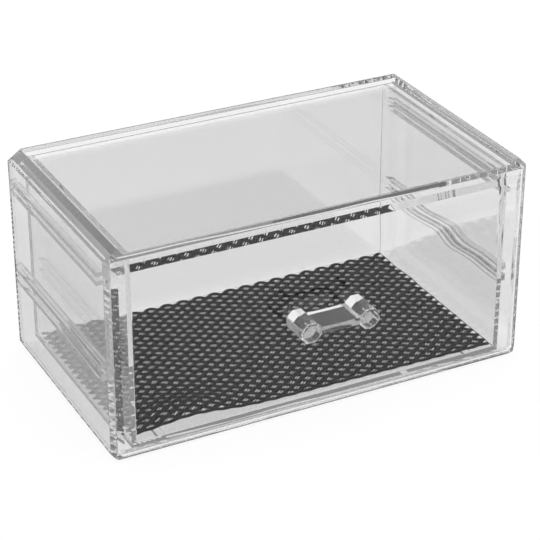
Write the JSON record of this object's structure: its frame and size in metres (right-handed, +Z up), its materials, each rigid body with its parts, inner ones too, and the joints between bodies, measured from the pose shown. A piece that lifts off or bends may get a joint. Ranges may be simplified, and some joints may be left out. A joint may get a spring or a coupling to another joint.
{
  "type": "drawer box",
  "caption": "Clear bevelled drawer box for brushes and cosmetics, with a pull-out drawer, bow-tie handle, black mesh liner and a recessed top for stacking.",
  "frame": {"origin": "centre of the casing's flat underside", "axes": "+X to the right along the front, +Y from the drawer front to the back, +Z up"},
  "size_m": [0.24, 0.1522, 0.12],
  "materials": {
    "clear_casing": "clear, polished, moulded plastic",
    "clear_drawer": "clear, polished, moulded plastic",
    "clear_handle": "clear, polished, moulded plastic",
    "black_mesh": "black, slightly shiny open mesh"
  },
  "bodies": {
    "casing": {"casing": "clear_casing"},
    "drawer": {"drawer": "clear_drawer", "handle": "clear_handle", "mesh_liner": "black_mesh"}
  },
  "joints": [
    {"name": "drawer_slide", "type": "slide", "parent": "casing", "child": "drawer", "axis": [0, -1, 0], "range_m": [0, 0.11]}
  ]
}
